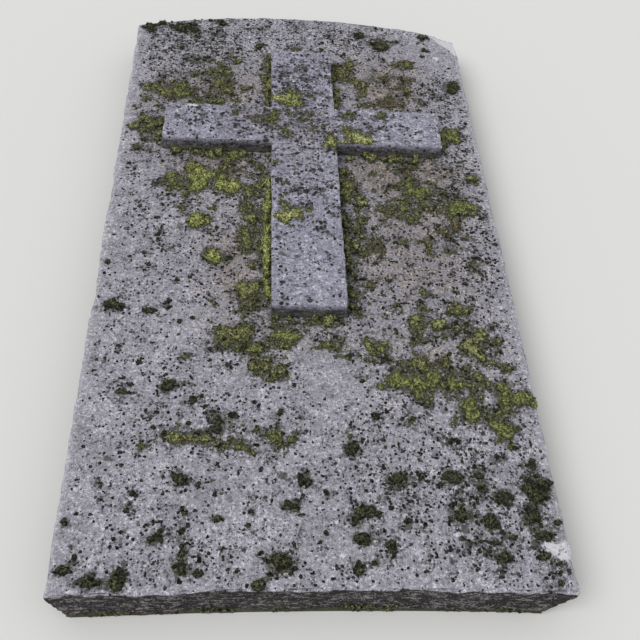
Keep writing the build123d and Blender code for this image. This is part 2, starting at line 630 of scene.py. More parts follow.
small_cushion_tries = 2600
tries = np.stack([
    chance.uniform(-half_width + 0.012, half_width - 0.012, small_cushion_tries),
    chance.uniform(foot_y + 0.02, crown_y - 0.02, small_cushion_tries),
    np.zeros(small_cushion_tries),
], axis=1)
likely = 1.5 * slab_lichen(tries) ** 2 + 0.02
small_cushions = []
for x, y, _ in tries[chance.random(small_cushion_tries) < likely]:
    across = x / MM
    along = (y - foot_y) / MM
    reach_x, reach_y = chance.uniform(3.5, 8.5, 2)
    small_cushions.append((across - reach_x, across + reach_x, along - reach_y, along + reach_y))
slab_plan.stamp("small", small_cushions, peak=0.5, sway=0.35, fray=0.6)
slab_plan.layers["damp"] = damp_share(slab_plan)
print("Plan:", slab_plan.shape, "squares;", len(small_cushions), "small cushions")

# %% [markdown]
# ## Paint what the materials need to know
#
# A material can make endless fine pattern by itself, but not know where moss has stained the
# stone. So each point carries a few numbers: how thickly black lichen grows, how damp and how
# brown the stone is, how clean it has been washed, how freshly it is broken, whether it
# belongs to a wall and how near the wall's foot it is. These run from 0 to 1. The one for
# green runs from -1, where there is none. The materials fray them all with fine noise.

# %% Paint the slab
damp_lag = 1.28
wet_height = 30 * MM


def paint(mesh, name, values):
    """Stores one number for each point of a mesh, for its material to read."""
    layer = mesh.attributes.new(name, "FLOAT", "POINT")
    layer.data.foreach_set("value", np.array(values, np.float32).ravel())


def show(name, mesh):
    """Adds a mesh to the scene as an object of the stone's one body."""
    piece = bpy.data.objects.new(name, mesh)
    bpy.context.scene.collection.objects.link(piece)
    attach(piece, "root")
    return piece


def add_piece(name, bm):
    """Turns a shape into an object of the scene, smooth but for its sharp edges."""
    mesh = bpy.data.meshes.new(name)
    bm.to_mesh(mesh)
    bm.free()
    mesh.shade_smooth()
    mesh.set_sharp_from_angle(angle=math.radians(50))
    mesh.calc_loop_triangles()
    print(f"{name}: {len(mesh.loop_triangles)} triangles")
    return show(name, mesh)


def upward_share(facing):
    """1 on the upper face and 0 on the walls, from how far up the points look."""
    return np.clip((facing - 0.25) / 0.5, 0, 1)


def white_share(plan, points, upward):
    """How thickly white crust covers the stone at some points."""
    return np.clip(1.4 * plan.read("white", points), 0, 1) * upward


def paint_stone(stone, points, upward, moss, damp, stains, low_z, **others):
    """Paints a stone with the numbers that both stones have in common, and with others."""
    # Crumbs of moss colour the stone under the moss, and thinly where it is damp
    film = np.clip(np.maximum(moss, damp - damp_lag), -1, 1)
    numbers = {
        "green": film * upward - (1 - upward),
        "soot": damp * upward,
        "stain": np.clip(field_sum(points, stains), 0, 1) * upward,
        "base": near(points[:, 2] - low_z, wet_height),
    }
    for name, values in {**numbers, **others}.items():
        paint(stone.data, name, values)


white_crust = [
    (388, 480, 56, 106), (424, 494, 46, 114), (34, 52, 60, 80), (238, 254, 98, 113),
    (-318, -300, 1196, 1212), (376, 396, 1520, 1540),
]
slab_plan.stamp("white", white_crust, peak=0.9, sway=0.3, fray=0.6, clump=0)
slab_points = coordinates(slab_shape)
slab_facing = normals(slab_shape)[:, 2]
slab_upward = upward_share(slab_facing)
carpet_kinds = ("olive", "green", "bright", "brown")
slab_moss = np.max([slab_plan.read(kind, slab_points) for kind in carpet_kinds], axis=0)
slab_white = white_share(slab_plan, slab_points, slab_upward)
slab_fresh = np.maximum(fresh_break * (slab_facing > 0.15), 0.85 * slab_white)

slab = add_piece("ledger_slab_stone", slab_shape)
paint_stone(
    slab, slab_points, slab_upward, slab_moss, slab_plan.read("damp", slab_points), stain_fields, 0,
    lichen=slab_lichen(slab_points) * (1 - 0.7 * slab_fresh),
    clean=slab_margin(slab_points, 0.022) * slab_upward,
    fresh=slab_fresh,
    wall=1 - slab_upward,
# The walls take the dark wall colour: partly dirt, partly painted shade
)
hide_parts("ledger_slab")

# %% [markdown]
# ## The cross
#
# The same way of carving, on a grid whose lines run through the corners of the cross. The
# squares outside it are deleted before the walls go down, so the inner corners stay sharp.

# %% Cross blank
cross_cell = 2.7 * MM
cross_courses = 12

cross_shape = ruled_grid(
    rule_lines([-cross_half_span, -half_shaft, half_shaft, cross_half_span], cross_cell),
    rule_lines([cross_low.y, arm_low_y, arm_high_y, cross_high.y], cross_cell),
    cross_high.z,
)


def outside_cross(point):
    """Whether a point of the upper face lies in one of the four open quarters."""
    beside_shaft = abs(point.x) > half_shaft
    beside_arms = point.y < arm_low_y or point.y > arm_high_y
    return beside_shaft and beside_arms


outside = [face for face in cross_shape.faces if outside_cross(face.calc_center_median())]
bmesh.ops.delete(cross_shape, geom=outside, context="FACES")
cross_rim = drop_walls(cross_shape, cross_thickness, cross_courses)
outer_corners = [
    edge for edge in upright_corners(cross_shape)
    if abs(abs(edge.verts[0].co.x) - half_shaft) > MM or edge.verts[0].co.y in (cross_low.y, cross_high.y)
]
break_arrises(cross_shape, cross_rim + outer_corners, cross_arris)
print("Cross blank:", len(cross_shape.faces), "faces")

# %% [markdown]
# The lower corner of the left arm is worn round. Points beyond a quarter circle slide back
# onto it.

# %% Worn corner and weathering of the cross
round_centre = Vector((-cross_half_span + worn_corner_round, arm_low_y + worn_corner_round))
for vert in cross_shape.verts:
    from_centre = vert.co.xy - round_centre
    in_corner = from_centre.x < 0 and from_centre.y < 0
    if in_corner and from_centre.length > worn_corner_round:
        vert.co.xy = round_centre + from_centre.normalized() * worn_corner_round
cross_top_wear = 0.75
weather(cross_shape, top_wear=cross_top_wear, wall_wear=0.6, arris_wear=0.5)

# %% Density of lichen over the cross
cross_lichen_fields = [
    (-79, 79, 1270, 1440, 0.50), (-90, 100, 1100, 1260, 0.16), (-79, 79, 880, 1010, 0.20),
    (-230, -60, 1130, 1236, 0.22), (-280, -220, 1150, 1210, 0.20), (80, 230, 1150, 1236, 0.18),
    (-60, 79, 1020, 1110, 0.12),
]
cross_washed_fields = [
    (-79, 79, 590, 800, 0.08), (-345, -290, 1105, 1236, 0.10), (240, 345, 1105, 1236, 0.12),
    (-79, 79, 1450, 1490, 0.12),
]
cross_stain_fields = [
    (-120, 120, 1080, 1260, 0.55), (-200, -60, 1150, 1236, 0.55), (-79, 79, 860, 1080, 0.35),
]


def inside_cross(points):
    """How far points are from the cross's outline, negative outside it."""
    x, y = points[:, 0], points[:, 1]
    from_shaft = np.minimum.reduce([half_shaft - np.abs(x), y - cross_low.y, cross_high.y - y])
    from_arms = np.minimum.reduce([cross_half_span - np.abs(x), y - arm_low_y, arm_high_y - y])
    return np.maximum(from_shaft, from_arms)


def cross_lichen(points):
    """How thickly black lichen covers the cross's upper face."""
    share = 0.56 + field_sum(points, cross_lichen_fields) - field_sum(points, cross_washed_fields)
    share -= 0.14 * near(inside_cross(points), 0.012)
    return np.clip(share + 0.14 * waves(points, 0.05, 14), 0.04, 1)


# %% Plan and paint of the cross
cross_plan = Plan(cross_low, cross_high, plan_cell, dome_size=8 * MM)
cross_plan.stamp("tuft", tuft_moss, peak=0.45, fray=1.0)
cross_plan.stamp("thin", thin_moss, peak=-0.20)
cross_plan.stamp("thin", [(-90, 110, 1084, 1262)], peak=-0.85, clump=0.9)
cross_plan.layers["damp"] = 0.6 * damp_share(cross_plan)
white_specks = [(-294, -258, 1220, 1238), (-322, -298, 1200, 1214), (68, 82, 590, 606)]
cross_plan.stamp("white", white_specks, peak=0.6, fray=0.9, clump=0)

cross_points = coordinates(cross_shape)
cross_upward = upward_share(normals(cross_shape)[:, 2])
cross_moss = np.maximum(cross_plan.read("tuft", cross_points), cross_plan.read("thin", cross_points))
cross_damp = cross_plan.read("damp", cross_points)
cross_sunk = np.clip((cross_high.z - cross_points[:, 2]) / 0.022, 0, 1)

cross = add_piece("raised_cross_stone", cross_shape)
paint_stone(
    cross, cross_points, cross_upward, cross_moss, cross_damp, cross_stain_fields, cross_low.z,
    lichen=cross_lichen(cross_points),
    clean=0.35 * near(inside_cross(cross_points), 0.012) * cross_upward,
    fresh=white_share(cross_plan, cross_points, cross_upward),
    # The cross's walls take the dark wall colour, more towards their foot where they meet the slab: dirt
    # and painted shade
    wall=(1 - cross_upward) * (0.28 + 0.72 * cross_sunk),
)
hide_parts("raised_cross")

# %% [markdown]
# ## A short hand for materials
#
# A material is a tree of nodes. Written out in full, each node takes five lines, and the
# idea of the material is lost. This small class adds a node or a few for each call and passes
# the output on, so that a finish reads from top to bottom like a recipe.

# %% Finish: materials as recipes
class Finish:
    """A material under construction."""

    def __init__(self, name, roughness, specular=0.2):
        self.material = bpy.data.materials.new(name)
        self.material.use_nodes = True
        self.tree = self.material.node_tree
        self.shader = self.tree.nodes["Principled BSDF"]
        self.shader.inputs["Roughness"].default_value = roughness
        self.shader.inputs["Specular IOR Level"].default_value = specular
        self.place = self.tree.nodes.new("ShaderNodeTexCoord").outputs["Object"]

    def feed(self, socket, value):
        """Links another node's output into a socket, or sets the socket to a value."""
        if isinstance(value, bpy.types.NodeSocket):
            self.tree.links.new(value, socket)
        else:
            socket.default_value = value

    def node(self, kind, inputs, **settings):
        """A new node's outputs, after its settings are made and its inputs are fed."""
        node = self.tree.nodes.new(kind)
        for setting, value in settings.items():
            setattr(node, setting, value)
        for socket, value in inputs.items():
            self.feed(node.inputs[socket], value)
        return node.outputs

    def painted(self, name):
        """A number that was painted on the mesh."""
        return self.node("ShaderNodeAttribute", {}, attribute_name=name)["Fac"]

    def mapped(self, scale=(1, 1, 1), shift=(0, 0, 0)):
        """Object coordinates, stretched and shifted."""
        inputs = {"Vector": self.place, "Scale": scale, "Location": shift}
        return self.node("ShaderNodeMapping", inputs)["Vector"]

    def noise(self, size, detail=3, roughness=0.55, place=None, output="Fac"):
        """Cloudy noise from 0 to 1 with clouds of about one size, in metres."""
        inputs = {
            "Vector": place or self.place, "Scale": 1 / size, "Detail": detail, "Roughness": roughness,
        }
        return self.node("ShaderNodeTexNoise", inputs)[output]

    def jitter(self, size, amount, place=None):
        """Coordinates pushed about by noise, which frays whatever is drawn with them."""
        cloud = self.noise(size, detail=2, roughness=0.5, place=place, output="Color")
        centred = self.vector("SUBTRACT", cloud, (0.5, 0.5, 0.5))
        pushed = self.vector("MULTIPLY", centred, (amount, amount, amount))
        return self.vector("ADD", place or self.place, pushed)

    def cells(self, size, place):
        """Scattered points: the distance to the nearest, and two random numbers of its own."""
        nearest = self.node("ShaderNodeTexVoronoi", {"Vector": place, "Scale": 1 / size})
        lots = self.node("ShaderNodeSeparateColor", {"Color": nearest["Color"]})
        return nearest["Distance"], lots["Red"], lots["Green"]

    def calc(self, operation, *numbers):
        """One step of arithmetic."""
        return self.node("ShaderNodeMath", dict(enumerate(numbers)), operation=operation)[0]

    def times(self, first, second):
        """Two numbers multiplied."""
        return self.calc("MULTIPLY", first, second)

    def swing(self, base, *noises):
        """A number moved by noises from 0 to 1, each up or down by half its own amount."""
        for value, amount in noises:
            base = self.calc("ADD", base, self.times(self.calc("SUBTRACT", value, 0.5), amount))
        return base

    def vector(self, operation, first, second):
        """One step of arithmetic on coordinates."""
        return self.node("ShaderNodeVectorMath", {0: first, 1: second}, operation=operation)[0]

    def ramp(self, value, low, high):
        """0 below low, 1 above high, and smooth between. It runs the other way if high is lower."""
        rises = low < high
        inputs = {
            "Value": value, "From Min": min(low, high), "From Max": max(low, high),
            "To Min": float(not rises), "To Max": float(rises),
        }
        return self.node("ShaderNodeMapRange", inputs, interpolation_type="SMOOTHSTEP")["Result"]

    def over(self, below, above, share, mode="MIX"):
        """Lays one colour over another, where the share says so."""
        # On colours this node uses inputs 0, 6 and 7 and output 2
        inputs = {0: share, 6: below, 7: above}
        return self.node("ShaderNodeMix", inputs, data_type="RGBA", blend_type=mode)[2]

    def coat(self, below, above, value, low, high, most=1.0, mode="MIX"):
        """Lays one colour over another, the more the further a value is from low to high."""
        return self.over(below, above, self.times(self.ramp(value, low, high), most), mode)

    def bump(self, height, depth):
        """Relief too fine for the mesh: height from 0 to 1, depth in metres."""
        return self.node("ShaderNodeBump", {"Strength": 1, "Distance": depth, "Height": height})["Normal"]

    def finish(self, colour, normal):
        """Connects colour and relief to the shader."""
        self.feed(self.shader.inputs["Base Color"], colour)
        self.feed(self.shader.inputs["Normal"], normal)
        return self.material


# %% [markdown]
# ## Stone
#
# The limestone itself is a cool grey with a violet cast, mottled from hand-size clouds down
# to grain. Black lichen sits on it as dots of many sizes, so three layers of scattered points
# are used, each with its own spacing, and a fourth for wide grey discs. A dot appears only
# where its point's random number is below the painted density, and the further below, the
# larger the dot. So thick growth crowds together and thin growth stays sparse.

# %% Stone colours
pale_stone = (0.78, 0.755, 0.82, 1)
mid_stone = (0.345, 0.330, 0.375, 1)
dark_stone = (0.110, 0.104, 0.114, 1)
black_lichen = (0.026, 0.025, 0.026, 1)
grey_lichen = (0.078, 0.079, 0.068, 1)
soot_lichen = (0.060, 0.059, 0.052, 1)
white_lichen = (0.80, 0.78, 0.80, 1)
green_film = (0.075, 0.077, 0.036, 1)
dark_crumbs = (0.034, 0.034, 0.020, 1)
green_crumbs = (0.150, 0.158, 0.068, 1)
brown_film = (0.70, 0.60, 0.46, 1)
fresh_stone = (0.80, 0.78, 0.82, 1)
# The wall colour is near black: partly dirt, partly painted shade on the upright faces
wall_dirt_and_shade = (0.022, 0.018, 0.017, 1)
wall_streak = (0.30, 0.275, 0.275, 1)
wall_green = (0.080, 0.082, 0.038, 1)
lichen_layers = (
    (0.0052, 0.80, 1.0),
    (0.0080, 0.85, 1.0),
    (0.0150, 0.55, 0.9),
)


def lichen_dots(stone, place, size, share, least=0.15, most=0.47):
    """Dots for that share of the points, larger where the share is well above a point's lot."""
    distance, lot, shade = stone.cells(size, place)
    spare = stone.calc("SUBTRACT", share, lot)
    radius = stone.calc("MINIMUM", stone.calc("MULTIPLY_ADD", spare, 0.6, least), most)
    dot = stone.ramp(stone.calc("SUBTRACT", radius, distance), -0.04, 0.08)
    return stone.times(dot, stone.ramp(spare, 0.0, 0.02)), shade


def stone_finish(name, wall_dark, tint, dot_scale):
    """Weathered limestone: mottled grey, lichen, moss stain, clean margins, and walls darkened by dirt and
    painted shade.
    """
    stone = Finish(name, roughness=0.92)
    soot = stone.painted("soot")
    lichen = stone.swing(stone.painted("lichen"), (stone.noise(0.026, 4, 0.65), 2.0))
    lichen = stone.calc("ADD", lichen, stone.times(soot, 0.16))
    frayed = stone.jitter(0.0055, 0.0050)

    clouds = stone.noise(0.085, 4, 0.6)
    mottle = stone.noise(0.017, 5, 0.72)
    speckle = stone.noise(0.0062, 4, 0.7)
    grain = stone.noise(0.0024, 2, 0.6)
    tone = stone.swing(0.0, (clouds, 1.0), (mottle, 2.0), (speckle, 3.3), (grain, 2.0))
    colour = stone.coat(mid_stone, pale_stone, tone, 0.02, 0.85)
    colour = stone.coat(colour, dark_stone, tone, -0.05, -0.9)
    colour = stone.over(colour, tint, 1.0, "MULTIPLY")

    stain = stone.swing(stone.painted("stain"), (clouds, 1.2), (mottle, 2.4))
    colour = stone.coat(colour, brown_film, stain, 0.25, 1.15, 0.85, "MULTIPLY")

    crust = stone.noise(0.013, 5, 0.75, stone.mapped(shift=(3.1, 1.7, 0.4)))
    colour = stone.coat(colour, white_lichen, crust, 0.60, 0.68, 0.85)

    smudge = stone.noise(0.020, 5, 0.78, stone.mapped(shift=(1.3, 5.2, 0.9)))
    smudge = stone.calc("ADD", stone.swing(smudge, (lichen, 0.20)), stone.times(soot, 0.14))
    smudge = stone.times(stone.ramp(smudge, 0.54, 0.64), stone.ramp(speckle, 0.75, 0.40))
    colour = stone.over(colour, soot_lichen, stone.times(smudge, 0.9))

    fresh = stone.swing(stone.painted("fresh"), (speckle, 1.6), (mottle, 0.8))
    colour = stone.coat(colour, fresh_stone, fresh, 0.4, 0.9, 0.84)

    disc_place = stone.jitter(0.0045, 0.0060, stone.mapped(shift=(0.7, 0.2, 0.0)))
    disc, disc_shade = lichen_dots(stone, disc_place, 0.032, stone.times(lichen, 0.7), 0.12, 0.30)
    disc = stone.times(disc, stone.ramp(stone.calc("ADD", speckle, disc_shade), 0.35, 0.95))
    colour = stone.over(colour, grey_lichen, stone.times(disc, 0.85))

    relief = stone.calc("ADD", stone.times(speckle, 0.6), stone.times(grain, 0.3))
    relief = stone.calc("ADD", relief, stone.times(mottle, 0.7))
    for size, crowd, strength in lichen_layers:
        dot, shade = lichen_dots(stone, frayed, size * dot_scale, stone.times(lichen, crowd))
        dot = stone.times(dot, stone.ramp(shade, -0.3, 0.4))
        colour = stone.over(colour, black_lichen, stone.times(dot, strength))
        relief = stone.calc("SUBTRACT", relief, stone.times(dot, 0.3))

    film = stone.swing(stone.painted("green"), (stone.noise(0.009, 5, 0.78), 3.0))
    crumbs = stone.coat(dark_crumbs, green_crumbs, stone.noise(0.0035, 3, 0.7), 0.42, 0.64)
    colour = stone.coat(colour, crumbs, film, -0.45, -0.10, 0.92)

    clean = stone.swing(stone.painted("clean"), (speckle, 1.0))
    colour = stone.coat(colour, pale_stone, clean, 0.35, 1.05, 0.3)

    layers = stone.noise(0.0075, 5, 0.78, stone.mapped(scale=(0.33, 0.33, 1)))
    blots = stone.noise(0.034, 5, 0.7)
    streaks = stone.swing(layers, (blots, 0.35), (speckle, 0.6), (grain, 0.5))
    damp = stone.swing(stone.painted("base"), (blots, 1.8), (speckle, 0.8))
    # Walls: a near-black colour that is partly dirt and partly painted shade, with pale streaks and green
    # at the foot
    dirt_and_shade_colour = stone.coat(wall_dirt_and_shade, wall_streak, streaks, 0.50, 0.64)
    dirt_and_shade_colour = stone.coat(dirt_and_shade_colour, wall_green, damp, 0.40, 0.75, 0.9)
    wall = stone.ramp(stone.swing(stone.painted("wall"), (speckle, 1.2)), 0.50, 0.90)
    colour = stone.over(colour, dirt_and_shade_colour, stone.times(wall, wall_dark))
    relief = stone.calc("ADD", relief, stone.times(stone.times(layers, wall), 1.2))

    return stone.finish(colour, stone.bump(relief, 0.0045))


slab.data.materials.append(stone_finish("weathered slab limestone", 0.97, (1, 1, 1, 1), 1.0))
cross.data.materials.append(stone_finish("weathered cross limestone", 0.85, (0.91, 0.92, 1.0, 1), 1.25))

# %% [markdown]
# ## Mortar
#
# The bed under the cross is a few millimetres of old lime mortar, set back from the edge and
# always damp. It keeps the construction's shape and only gets its finish here.

# %% Mortar bed
damp_mortar = (0.085, 0.078, 0.062, 1)
pale_sand = (0.19, 0.175, 0.145, 1)


def mortar_finish():
    """Dark, damp lime mortar with sand grains."""
    mortar = Finish("damp lime mortar", roughness=0.95)
    sand = mortar.noise(0.0018, 3, 0.7)
    colour = mortar.coat(damp_mortar, pale_sand, sand, 0.4, 0.7)
    colour = mortar.coat(colour, green_film, mortar.noise(0.03, 4), 0.45, 0.7, 0.7)
    return mortar.finish(colour, mortar.bump(sand, 0.0008))


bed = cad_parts["cross_bed"]
bed.data.materials.clear()
bed.data.materials.append(mortar_finish())

# %% [markdown]
# ## Moss colour
#
# One number, the hue, runs from nearly black cushions through olive to the yellow-green of
# wet young moss. Another says how dry and brown it is. The tips are painted lighter than the
# bases, as painted shade where light doesn't reach between the shoots, and fine noise breaks
# the surface into single leaves with painted highlights and shaded gaps. The shoots are
# painted lighter than the cushions, as lit tips over a shaded skin.

# %% Moss material
black_moss_colour = (0.027, 0.028, 0.018, 1)
olive_moss_colour = (0.122, 0.126, 0.058, 1)
green_moss_colour = (0.152, 0.170, 0.056, 1)
bright_moss_colour = (0.32, 0.32, 0.140, 1)
dry_moss_colour = (0.135, 0.098, 0.070, 1)


def moss_finish(name, depth, light):
    """Moss from black-green to yellow-green, with painted shade towards its base and between its leaves.
    """
    moss = Finish(name, roughness=0.95, specular=0.1)
    hue = moss.swing(moss.painted("hue"), (moss.noise(0.007), 0.6))
    dry = moss.swing(moss.painted("dry"), (moss.noise(0.011), 1.0))
    leaves = moss.noise(leaf_size, 4, 0.75)
    colour = moss.coat(black_moss_colour, olive_moss_colour, hue, 0.05, 0.35)
    colour = moss.coat(colour, green_moss_colour, hue, 0.32, 0.62)
    colour = moss.coat(colour, bright_moss_colour, hue, 0.6, 0.95)
    colour = moss.coat(colour, dry_moss_colour, dry, 0.4, 0.7)
    # Painted shade and light: darker towards the base by tip, dark gaps and lit leaves by noise, all
    # scaled by light
    tip_shade = moss.calc("MULTIPLY_ADD", moss.painted("tip"), 0.8 * light, 0.4 * light)
    leaf_shade = moss.calc("MULTIPLY_ADD", moss.ramp(leaves, 0.42, 0.62), 2.4, 0.3)
    shade = moss.times(tip_shade, leaf_shade)
    grey = moss.node("ShaderNodeCombineColor", {"Red": shade, "Green": shade, "Blue": shade})["Color"]
    colour = moss.over(colour, grey, 1.0, "MULTIPLY")
    return moss.finish(colour, moss.bump(leaves, depth))


leaf_size = 4.6 * MM
# Painted light: the shoots get a higher light than the cushions, so their tips read as lit over a shaded
# skin
cushion_finish = moss_finish("moss cushions", depth=0.0025, light=1.05)
shoot_finish = moss_finish("moss shoots", depth=0.0004, light=1.9)

# %% [markdown]
# ## Moss as a thin skin
#
# Cushions and carpets are a few millimetres of soft growth that follows the stone. They
# could be thousands of domes, but real cushions merge. So one fine grid is laid over the
# stone, everything is deleted that the plan leaves bare, and the rest is raised by the
# plan's strength and by packed domes. Where the strength is low, the skin dips into the
# stone, so its visible rim is a smooth natural line. Solidify closes it underneath. It can
# throw a point far off where only corners of squares meet, so such points are put back.

# %% Moss skins
def upper_face(points, height, wear):
    """The carved upper face of a stone under some points."""
    level = points * np.array([1, 1, 0]) + np.array([0, 0, height])
    level[:, 2] -= wear * top_relief(level)
    return level


def on_slab(points):
    """Puts points on the slab."""
    return upper_face(points, slab_top, 1.0)


def on_cross(points):
    """Puts points on the cross."""
    return upper_face(points, cross_high.z, cross_top_wear)


def clear_of_break(points):
    """How far points are from the flaked corner of the head, negative on the flake."""
    inward = np.array((1 / head_break.x, 1 / head_break.y))
    rim = np.array((head_corner.x + head_break.x, head_corner.y))
    return (points[:, :2] - rim) @ inward / np.linalg.norm(inward)


def inside_slab(points):
    """How far points are inside the whole part of the slab's outline, negative outside it."""
    x = np.clip(points[:, 0], -half_width, half_width)
    from_sides = half_width - np.abs(points[:, 0])
    from_ends = np.minimum(points[:, 1] - foot_line(x), head_line(x) - points[:, 1])
    return np.minimum.reduce([from_sides, from_ends, clear_of_break(points)])


def blend_kinds(strengths, values):
    """Mixes the values of several kinds of moss by how strongly each of them grows."""
    weights = np.exp(6 * np.clip(strengths, -1, 1.5))
    return np.tensordot(np.array(values).T, weights, axes=1) / weights.sum(axis=0)


skin_thickness = 1.2 * MM


def beside_cross(points):
    """1 along the walls of the cross, falling to 0 at 24 mm from them."""
    return near(-inside_cross(points), 0.024)


def paint_moss(mesh, tip, hue, dry, material):
    """Paints the three numbers that colour moss, tip for painted shade, hue and dryness, and gives the
    mesh its material.
    """
    for name, values in {"tip": tip, "hue": hue, "dry": dry}.items():
        paint(mesh, name, values)
    mesh.materials.append(material)


def moss_skin(name, plan, surface, kinds, keep, rows, heap=0.0):
    """A closed skin over some rows of a plan: kinds give moss its height, hue and dryness."""
    points = plan.points()
    strengths = np.array([plan.layers[kind].ravel() for kind in kinds])
    tall, hue, dry = blend_kinds(strengths, list(kinds.values()))
    strength = np.minimum(strengths.max(axis=0), keep(points) + 0.5 * plan.fray.ravel())
    rounded = np.clip(strength * 1.3, -1, 1)
    raised = np.sqrt(np.abs(rounded)) * (0.45 + 0.55 * plan.domes.ravel())
    raised *= 1 + heap * beside_cross(points)
    heights = tall * MM * np.where(rounded > 0, raised, rounded)
    plan.layers["height"] = plan.grid(heights)
    placed = surface(points)
    placed[:, 2] += np.maximum(heights, -2.5 * MM)
    columns = plan.shape[1]
    bm = ruled_grid(list(range(columns)), list(rows), 0)
    index = [round(vert.co.y) * columns + round(vert.co.x) for vert in bm.verts]
    bare = {i for i, flat in enumerate(index) if strength[flat] <= -0.35}
    bm.verts.index_update()
    empty = [face for face in bm.faces if any(vert.index in bare for vert in face.verts)]
    order = bm.verts.layers.int.new("order")
    for vert, flat in zip(bm.verts, index):
        vert[order] = flat
        vert.co = placed[flat]
    bmesh.ops.delete(bm, geom=empty, context="FACES")
    bmesh.ops.recalc_face_normals(bm, faces=bm.faces)
    bmesh.ops.solidify(bm, geom=bm.faces[:], thickness=skin_thickness)
    for vert in bm.verts:
        home = Vector(placed[vert[order]])
        if (vert.co - home).length > 2 * skin_thickness:
            vert.co = home - Vector((0, 0, skin_thickness))
    kept = np.array([vert[order] for vert in bm.verts])
    # Painted shade: tip is low where the skin is low, and the material darkens it there
    tip = np.clip(heights[kept] / (4 * MM), 0, 1)
    hues = hue[kept] + 0.30 * (np.clip(strength[kept], 0, 1) - 0.4)
    paint_moss(add_piece(name, bm).data, tip, hues, dry[kept], cushion_finish)


def clear_of_cross(points):
    """Strength that keeps moss on the slab: it fades at the outline and under the cross."""
    at_rim = inside_slab(points) / (6 * MM)
    under_cross = -inside_cross(points) / (2 * MM) + 1
    return np.minimum(at_rim, under_cross)


def clear_of_edge(points):
    """Strength that keeps moss on the cross: it fades at the outline."""
    return inside_cross(points) / (5 * MM)


slab_kinds = {
    "small": (3.0, -0.15, 0.1),
    "black": (7.0, -0.05, 0.1),
    "brown": (3.2, 0.22, 0.6),
    "olive": (4.6, 0.30, 0.38),
    "green": (5.4, 0.40, 0.15),
    "bright": (5.4, 0.60, 0.15),
}
cross_kinds = {
    "thin": (1.0, 0.40, 0.30),
    "tuft": (2.6, 0.76, 0.3),
}
slab_rows = slab_plan.shape[0]
skin_seam = round(slab_rows * 0.42)
foot_rows = range(skin_seam + 1)
head_rows = range(skin_seam, slab_rows)
cross_rows = range(cross_plan.shape[0])
moss_skin("moss_skin_foot", slab_plan, on_slab, slab_kinds, clear_of_cross, foot_rows, heap=2.4)
moss_skin("moss_skin_head", slab_plan, on_slab, slab_kinds, clear_of_cross, head_rows, heap=2.4)
moss_skin("moss_skin_cross", cross_plan, on_cross, cross_kinds, clear_of_edge, cross_rows)

# %% [markdown]
# ## Shoots and buttons, as many small things
#
# What stands on the skin is too small and too many to model one by one: leafy shoots, and
# low black buttons of lichen on the bare stone. Each is made once as a template, with a
# bmesh operator, and then copied by arrays into one joined mesh. Every copy has its own
# place, size, turn, lean and shade.

# %% Templates and copies
def template(make):
    """Coordinates and faces of a small shape that an operator made."""
    bm = bmesh.new()
    make(bm)
    bm.verts.index_update()
    points = coordinates(bm)
    faces = np.array([[vert.index for vert in face.verts] for face in bm.faces])
    bm.free()
    return points, faces


def make_cone(bm, sides):
    """A cone of height 1 that stands on the origin, made of triangles."""
    bmesh.ops.create_cone(
        bm, cap_ends=True, cap_tris=sides > 3, segments=sides, radius1=1, radius2=0, depth=1,
    )
    bmesh.ops.translate(bm, verts=bm.verts, vec=(0, 0, 0.5))
    bmesh.ops.remove_doubles(bm, verts=bm.verts, dist=0.001)


button = template(lambda bm: make_cone(bm, 6))
lump = template(lambda bm: bmesh.ops.create_icosphere(bm, subdivisions=1, radius=1))
shoot = template(lambda bm: make_cone(bm, 3))


def plant(name, shape, places, sizes, hues, dries, material, leans=0.0, fray=0.0):
    """Joins copies of a template into one object."""
    corner_points, corner_faces = shape
    corners = len(corner_points)
    count = len(places)
    spins = chance.uniform(0, math.tau, count)[:, None]
    x = corner_points[:, 0] * np.cos(spins) - corner_points[:, 1] * np.sin(spins)
    y = corner_points[:, 0] * np.sin(spins) + corner_points[:, 1] * np.cos(spins)
    z = np.broadcast_to(corner_points[:, 2], x.shape)
    local = np.stack([x, y, z], axis=2) * sizes[:, None, :]
    tilt = chance.uniform(-leans, leans, (count, 2)) * sizes[:, 2:]
    local[:, :, :2] += tilt[:, None, :] * np.clip(z, 0, 1)[:, :, None]
    local *= 1 + fray * chance.uniform(-1, 1, (count, corners, 1))
    joined = (places[:, None, :] + local).reshape(-1, 3)
    faces = (corner_faces[None] + corners * np.arange(count)[:, None, None]).reshape(-1, 3)
    mesh = bpy.data.meshes.new(name)
    mesh.from_pydata(joined.tolist(), [], faces.tolist())
    mesh.shade_smooth()
    # Painted shade: each copy is darker towards its base, by its height in the template
    paint_moss(mesh, np.clip(z, 0, 1), np.repeat(hues, corners), np.repeat(dries, corners), material)
    show(name, mesh)
    print(f"{name}: {count} copies, {len(faces)} triangles")


# %% [markdown]
# ## Shoots
#
# Places are dealt out evenly over the stone, and each is kept with a chance that grows with
# the plan's strength there. So carpets are dense and their rims thin out.

# %% Plant the shoots
def deal(low, high, count):
    """Random places over a box, on level zero."""
    x = chance.uniform(low.x, high.x, count)
    y = chance.uniform(low.y, high.y, count)
    return np.stack([x, y, np.zeros(count)], axis=1)


